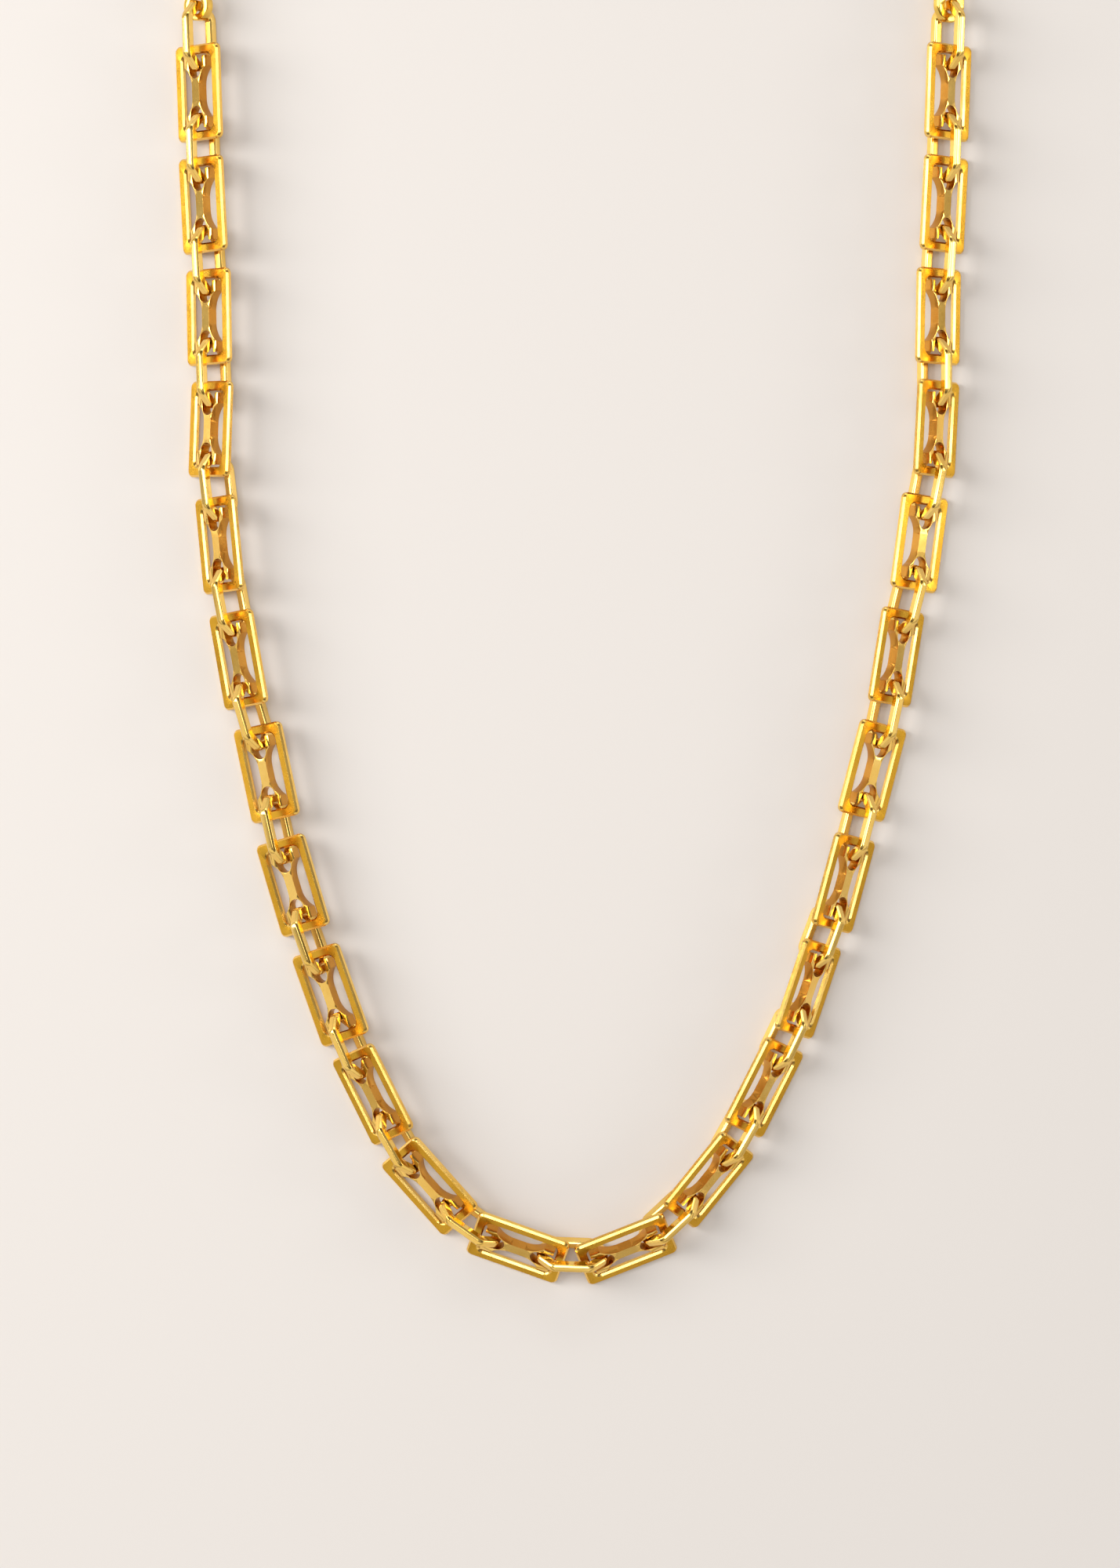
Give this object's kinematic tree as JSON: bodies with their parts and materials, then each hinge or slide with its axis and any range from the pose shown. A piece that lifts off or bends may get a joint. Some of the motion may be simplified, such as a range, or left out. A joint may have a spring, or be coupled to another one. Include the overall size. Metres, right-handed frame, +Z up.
{
  "type": "chain necklace",
  "caption": "Gold-toned chain necklace of flat rectangular frame links with bow-tie spacers, joined by upright eight-sided rings, with a lever clasp and end tag.",
  "frame": {"origin": "centre of the footprint, on the table the chain lies on", "axes": "+Y from the bottom of the U towards the two ends, +Z up from the table, +X to the right of the U seen from above"},
  "size_m": [0.1238, 0.211, 0.0071],
  "materials": {
    "frame_gold": "polished gold plating, faces slightly satin",
    "ring_gold": "polished gold plating",
    "clasp_gold": "polished gold plating"
  },
  "bodies": {
    "frame_link_01": {"frame_link_01": "frame_gold"},
    "frame_link_02": {"frame_link_02": "frame_gold"},
    "frame_link_03": {"frame_link_03": "frame_gold"},
    "frame_link_04": {"frame_link_04": "frame_gold"},
    "frame_link_05": {"frame_link_05": "frame_gold"},
    "frame_link_06": {"frame_link_06": "frame_gold"},
    "frame_link_07": {"frame_link_07": "frame_gold"},
    "frame_link_08": {"frame_link_08": "frame_gold"},
    "frame_link_09": {"frame_link_09": "frame_gold"},
    "frame_link_10": {"frame_link_10": "frame_gold"},
    "frame_link_11": {"frame_link_11": "frame_gold"},
    "frame_link_12": {"frame_link_12": "frame_gold"},
    "frame_link_13": {"frame_link_13": "frame_gold"},
    "frame_link_14": {"frame_link_14": "frame_gold"},
    "frame_link_15": {"frame_link_15": "frame_gold"},
    "frame_link_16": {"frame_link_16": "frame_gold"},
    "frame_link_17": {"frame_link_17": "frame_gold"},
    "frame_link_18": {"frame_link_18": "frame_gold"},
    "frame_link_19": {"frame_link_19": "frame_gold"},
    "frame_link_20": {"frame_link_20": "frame_gold"},
    "frame_link_21": {"frame_link_21": "frame_gold"},
    "frame_link_22": {"frame_link_22": "frame_gold"},
    "frame_link_23": {"frame_link_23": "frame_gold"},
    "frame_link_24": {"frame_link_24": "frame_gold"},
    "ring_00": {"ring_00": "ring_gold"},
    "ring_01": {"ring_01": "ring_gold"},
    "ring_02": {"ring_02": "ring_gold"},
    "ring_03": {"ring_03": "ring_gold"},
    "ring_04": {"ring_04": "ring_gold"},
    "ring_05": {"ring_05": "ring_gold"},
    "ring_06": {"ring_06": "ring_gold"},
    "ring_07": {"ring_07": "ring_gold"},
    "ring_08": {"ring_08": "ring_gold"},
    "ring_09": {"ring_09": "ring_gold"},
    "ring_10": {"ring_10": "ring_gold"},
    "ring_11": {"ring_11": "ring_gold"},
    "ring_12": {"ring_12": "ring_gold"},
    "ring_13": {"ring_13": "ring_gold"},
    "ring_14": {"ring_14": "ring_gold"},
    "ring_15": {"ring_15": "ring_gold"},
    "ring_16": {"ring_16": "ring_gold"},
    "ring_17": {"ring_17": "ring_gold"},
    "ring_18": {"ring_18": "ring_gold"},
    "ring_19": {"ring_19": "ring_gold"},
    "ring_20": {"ring_20": "ring_gold"},
    "ring_21": {"ring_21": "ring_gold"},
    "ring_22": {"ring_22": "ring_gold"},
    "ring_23": {"ring_23": "ring_gold"},
    "ring_24": {"ring_24": "ring_gold"},
    "clasp": {"clasp_body": "clasp_gold", "clasp_pin": "clasp_gold"},
    "clasp_lever": {"clasp_lever": "clasp_gold"},
    "end_tag": {"end_tag": "clasp_gold"}
  },
  "joints": [
    {"name": "pitch_frame_link_13", "type": "hinge", "parent": "ring_12", "child": "frame_link_13", "pos_m": [0.00193, -0.10217, 0.00331], "axis": [-0.2724, 0.6914, 0.6691], "range_deg": [-6, 20]},
    {"name": "swing_ring_13", "type": "hinge", "parent": "frame_link_13", "child": "ring_13", "pos_m": [0.01137, -0.09804, 0.00317], "axis": [0.4248, -0.455, 0.7826], "range_deg": [-20, 4]},
    {"name": "pitch_frame_link_14", "type": "hinge", "parent": "ring_13", "child": "frame_link_14", "pos_m": [0.01674, -0.09421, 0.00337], "axis": [0.5684, -0.4603, -0.682], "range_deg": [-20, 20]},
    {"name": "swing_ring_14", "type": "hinge", "parent": "frame_link_14", "child": "ring_14", "pos_m": [0.02284, -0.08594, 0.00315], "axis": [-0.5487, 0.3081, -0.7771], "range_deg": [-12, 20]},
    {"name": "pitch_frame_link_15", "type": "hinge", "parent": "ring_14", "child": "frame_link_15", "pos_m": [0.02653, -0.08068, 0.00337], "axis": [-0.6528, 0.3298, 0.682], "range_deg": [-20, 20]},
    {"name": "swing_ring_15", "type": "hinge", "parent": "frame_link_15", "child": "ring_15", "pos_m": [0.03058, -0.07114, 0.00308], "axis": [0.5938, -0.2789, 0.7547], "range_deg": [-20, 14]},
    {"name": "pitch_frame_link_16", "type": "hinge", "parent": "ring_15", "child": "frame_link_16", "pos_m": [0.03422, -0.06575, 0.00358], "axis": [0.6468, -0.2164, -0.7314], "range_deg": [-20, 20]},
    {"name": "swing_ring_16", "type": "hinge", "parent": "frame_link_16", "child": "ring_16", "pos_m": [0.0369, -0.05541, 0.00306], "axis": [-0.6224, 0.2275, -0.749], "range_deg": [-20, 20]},
    {"name": "pitch_frame_link_17", "type": "hinge", "parent": "ring_16", "child": "frame_link_17", "pos_m": [0.04011, -0.04947, 0.00342], "axis": [-0.6948, 0.1862, 0.6947], "range_deg": [-20, 20]},
    {"name": "swing_ring_17", "type": "hinge", "parent": "frame_link_17", "child": "ring_17", "pos_m": [0.04271, -0.03882, 0.00328], "axis": [0.5558, -0.1417, 0.8192], "range_deg": [-20, 20]},
    {"name": "pitch_frame_link_18", "type": "hinge", "parent": "ring_17", "child": "frame_link_18", "pos_m": [0.04467, -0.03208, 0.00284], "axis": [0.8026, -0.2076, -0.5592], "range_deg": [-20, 20]},
    {"name": "swing_ring_18", "type": "hinge", "parent": "frame_link_18", "child": "ring_18", "pos_m": [0.04721, -0.02142, 0.00331], "axis": [-0.547, 0.116, -0.829], "range_deg": [-20, 20]},
    {"name": "pitch_frame_link_19", "type": "hinge", "parent": "ring_18", "child": "frame_link_19", "pos_m": [0.04899, -0.01461, 0.00331], "axis": [-0.734, 0.1163, 0.6691], "range_deg": [-20, 20]},
    {"name": "swing_ring_19", "type": "hinge", "parent": "frame_link_19", "child": "ring_19", "pos_m": [0.05051, -0.00367, 0.00328], "axis": [0.5564, -0.1394, 0.8192], "range_deg": [-20, 20]},
    {"name": "pitch_frame_link_20", "type": "hinge", "parent": "ring_19", "child": "frame_link_20", "pos_m": [0.05277, 0.00306, 0.00297], "axis": [0.8021, -0.1056, -0.5878], "range_deg": [-20, 20]},
    {"name": "swing_ring_20", "type": "hinge", "parent": "frame_link_20", "child": "ring_20", "pos_m": [0.05391, 0.01396, 0.00325], "axis": [-0.5773, 0.1107, -0.809], "range_deg": [-20, 20]},
    {"name": "pitch_frame_link_21", "type": "hinge", "parent": "ring_20", "child": "frame_link_21", "pos_m": [0.05589, 0.02072, 0.00342], "axis": [-0.7184, 0.0376, 0.6947], "range_deg": [-20, 20]},
    {"name": "swing_ring_21", "type": "hinge", "parent": "frame_link_21", "child": "ring_21", "pos_m": [0.056, 0.03138, 0.00319], "axis": [0.6157, -0.0016, 0.788], "range_deg": [-20, 20]},
    {"name": "pitch_frame_link_22", "type": "hinge", "parent": "ring_21", "child": "frame_link_22", "pos_m": [0.05643, 0.0381, 0.0032], "axis": [0.7659, -0.0134, -0.6428], "range_deg": [-20, 20]},
    {"name": "swing_ring_22", "type": "hinge", "parent": "frame_link_22", "child": "ring_22", "pos_m": [0.0563, 0.0488, 0.00325], "axis": [-0.5865, 0.0395, -0.809], "range_deg": [-20, 20]},
    {"name": "pitch_frame_link_23", "type": "hinge", "parent": "ring_22", "child": "frame_link_23", "pos_m": [0.05711, 0.05549, 0.0032], "axis": [-0.765, 0.0401, 0.6428], "range_deg": [-20, 20]},
    {"name": "swing_ring_23", "type": "hinge", "parent": "frame_link_23", "child": "ring_23", "pos_m": [0.05735, 0.06616, 0.00325], "axis": [0.5876, -0.0162, 0.809], "range_deg": [-20, 20]},
    {"name": "pitch_frame_link_24", "type": "hinge", "parent": "ring_23", "child": "frame_link_24", "pos_m": [0.05783, 0.07287, 0.0032], "axis": [0.7656, -0.0267, -0.6428], "range_deg": [-20, 20]},
    {"name": "swing_ring_24", "type": "hinge", "parent": "frame_link_24", "child": "ring_24", "pos_m": [0.05789, 0.08355, 0.00325], "axis": [-0.5874, 0.0205, -0.809], "range_deg": [-20, 20]},
    {"name": "pitch_frame_link_12", "type": "hinge", "parent": "ring_12", "child": "frame_link_12", "pos_m": [-0.00227, -0.10175, 0.00314], "axis": [0.2594, 0.7326, 0.6293], "range_deg": [-20, 20]},
    {"name": "swing_ring_11", "type": "hinge", "parent": "frame_link_12", "child": "ring_11", "pos_m": [-0.01205, -0.0982, 0.00334], "axis": [-0.3164, -0.4433, 0.8387], "range_deg": [-20, 20]},
    {"name": "pitch_frame_link_11", "type": "hinge", "parent": "ring_11", "child": "frame_link_11", "pos_m": [-0.01781, -0.09499, 0.00291], "axis": [-0.6107, -0.546, -0.5736], "range_deg": [-20, 20]},
    {"name": "swing_ring_10", "type": "hinge", "parent": "frame_link_11", "child": "ring_10", "pos_m": [-0.02465, -0.08723, 0.00334], "axis": [0.4733, 0.2695, -0.8387], "range_deg": [-20, 20]},
    {"name": "pitch_frame_link_10", "type": "hinge", "parent": "ring_10", "child": "frame_link_10", "pos_m": [-0.02808, -0.08179, 0.00314], "axis": [0.6955, 0.3468, 0.6293], "range_deg": [-20, 20]},
    {"name": "swing_ring_09", "type": "hinge", "parent": "frame_link_10", "child": "ring_09", "pos_m": [-0.03267, -0.07251, 0.00339], "axis": [-0.4728, -0.2044, 0.8572], "range_deg": [-20, 20]},
    {"name": "pitch_frame_link_09", "type": "hinge", "parent": "ring_09", "child": "frame_link_09", "pos_m": [-0.03543, -0.06671, 0.00265], "axis": [-0.808, -0.2861, -0.515], "range_deg": [-20, 20]},
    {"name": "swing_ring_08", "type": "hinge", "parent": "frame_link_09", "child": "ring_08", "pos_m": [-0.03918, -0.05641, 0.0035], "axis": [0.4206, 0.149, -0.8949], "range_deg": [-20, 20]},
    {"name": "pitch_frame_link_08", "type": "hinge", "parent": "ring_08", "child": "frame_link_08", "pos_m": [-0.04156, -0.04982, 0.00259], "axis": [0.8304, 0.246, 0.5], "range_deg": [-20, 20]},
    {"name": "swing_ring_07", "type": "hinge", "parent": "frame_link_08", "child": "ring_07", "pos_m": [-0.04474, -0.03932, 0.00349], "axis": [-0.4434, -0.0976, 0.891], "range_deg": [-18, 20]},
    {"name": "pitch_frame_link_07", "type": "hinge", "parent": "ring_07", "child": "frame_link_07", "pos_m": [-0.04619, -0.03245, 0.00272], "axis": [-0.8301, -0.1734, -0.5299], "range_deg": [-20, 20]},
    {"name": "swing_ring_06", "type": "hinge", "parent": "frame_link_07", "child": "ring_06", "pos_m": [-0.04838, -0.02167, 0.00337], "axis": [0.5091, 0.1471, -0.848], "range_deg": [-20, 20]},
    {"name": "pitch_frame_link_06", "type": "hinge", "parent": "ring_06", "child": "frame_link_06", "pos_m": [-0.0507, -0.01499, 0.0032], "axis": [0.7544, 0.133, 0.6428], "range_deg": [-20, 20]},
    {"name": "swing_ring_05", "type": "hinge", "parent": "frame_link_06", "child": "ring_05", "pos_m": [-0.05214, -0.00407, 0.00317], "axis": [-0.6122, -0.1129, 0.7826], "range_deg": [-20, 20]},
    {"name": "pitch_frame_link_05", "type": "hinge", "parent": "ring_05", "child": "frame_link_05", "pos_m": [-0.05412, 0.00274, 0.00347], "axis": [-0.7039, -0.0678, -0.7071], "range_deg": [-20, 20]},
    {"name": "swing_ring_04", "type": "hinge", "parent": "frame_link_05", "child": "ring_04", "pos_m": [-0.05453, 0.01373, 0.0031], "axis": [0.6451, 0.0752, -0.7604], "range_deg": [-20, 20]},
    {"name": "pitch_frame_link_04", "type": "hinge", "parent": "ring_04", "child": "frame_link_04", "pos_m": [-0.05639, 0.02061, 0.00342], "axis": [0.7189, -0.0251, 0.6947], "range_deg": [-20, 20]},
    {"name": "swing_ring_03", "type": "hinge", "parent": "frame_link_04", "child": "ring_03", "pos_m": [-0.05557, 0.0313, 0.00319], "axis": [-0.6152, -0.0244, 0.788], "range_deg": [-20, 20]},
    {"name": "pitch_frame_link_03", "type": "hinge", "parent": "ring_03", "child": "frame_link_03", "pos_m": [-0.05635, 0.038, 0.0032], "axis": [-0.7659, -0.0134, -0.6428], "range_deg": [-20, 20]},
    {"name": "swing_ring_02", "type": "hinge", "parent": "frame_link_03", "child": "ring_02", "pos_m": [-0.05622, 0.0487, 0.00325], "axis": [0.5865, 0.0395, -0.809], "range_deg": [-20, 20]},
    {"name": "pitch_frame_link_02", "type": "hinge", "parent": "ring_02", "child": "frame_link_02", "pos_m": [-0.05702, 0.05539, 0.0032], "axis": [0.765, 0.0401, 0.6428], "range_deg": [-20, 20]},
    {"name": "swing_ring_01", "type": "hinge", "parent": "frame_link_02", "child": "ring_01", "pos_m": [-0.05727, 0.06606, 0.00325], "axis": [-0.5876, -0.0162, 0.809], "range_deg": [-20, 20]},
    {"name": "pitch_frame_link_01", "type": "hinge", "parent": "ring_01", "child": "frame_link_01", "pos_m": [-0.05775, 0.07277, 0.0032], "axis": [-0.7656, -0.0267, -0.6428], "range_deg": [-20, 20]},
    {"name": "swing_ring_00", "type": "hinge", "parent": "frame_link_01", "child": "ring_00", "pos_m": [-0.05781, 0.08345, 0.00325], "axis": [0.5874, 0.0205, -0.809], "range_deg": [-20, 20]},
    {"name": "clasp_swing", "type": "hinge", "parent": "ring_00", "child": "clasp", "pos_m": [-0.05813, 0.09285, 0.00325], "axis": [-0.5874, -0.0205, 0.809], "range_deg": [-30, 30]},
    {"name": "lever_pivot", "type": "hinge", "parent": "clasp", "child": "clasp_lever", "pos_m": [-0.05956, 0.0977, 0.00234], "axis": [0.5874, 0.0205, -0.809], "range_deg": [0, 16], "stiffness_Nm_per_rad": 0.002},
    {"name": "tag_swing", "type": "hinge", "parent": "ring_24", "child": "end_tag", "pos_m": [0.05821, 0.09295, 0.00325], "axis": [0.5874, -0.0205, 0.809], "range_deg": [-30, 30]}
  ]
}
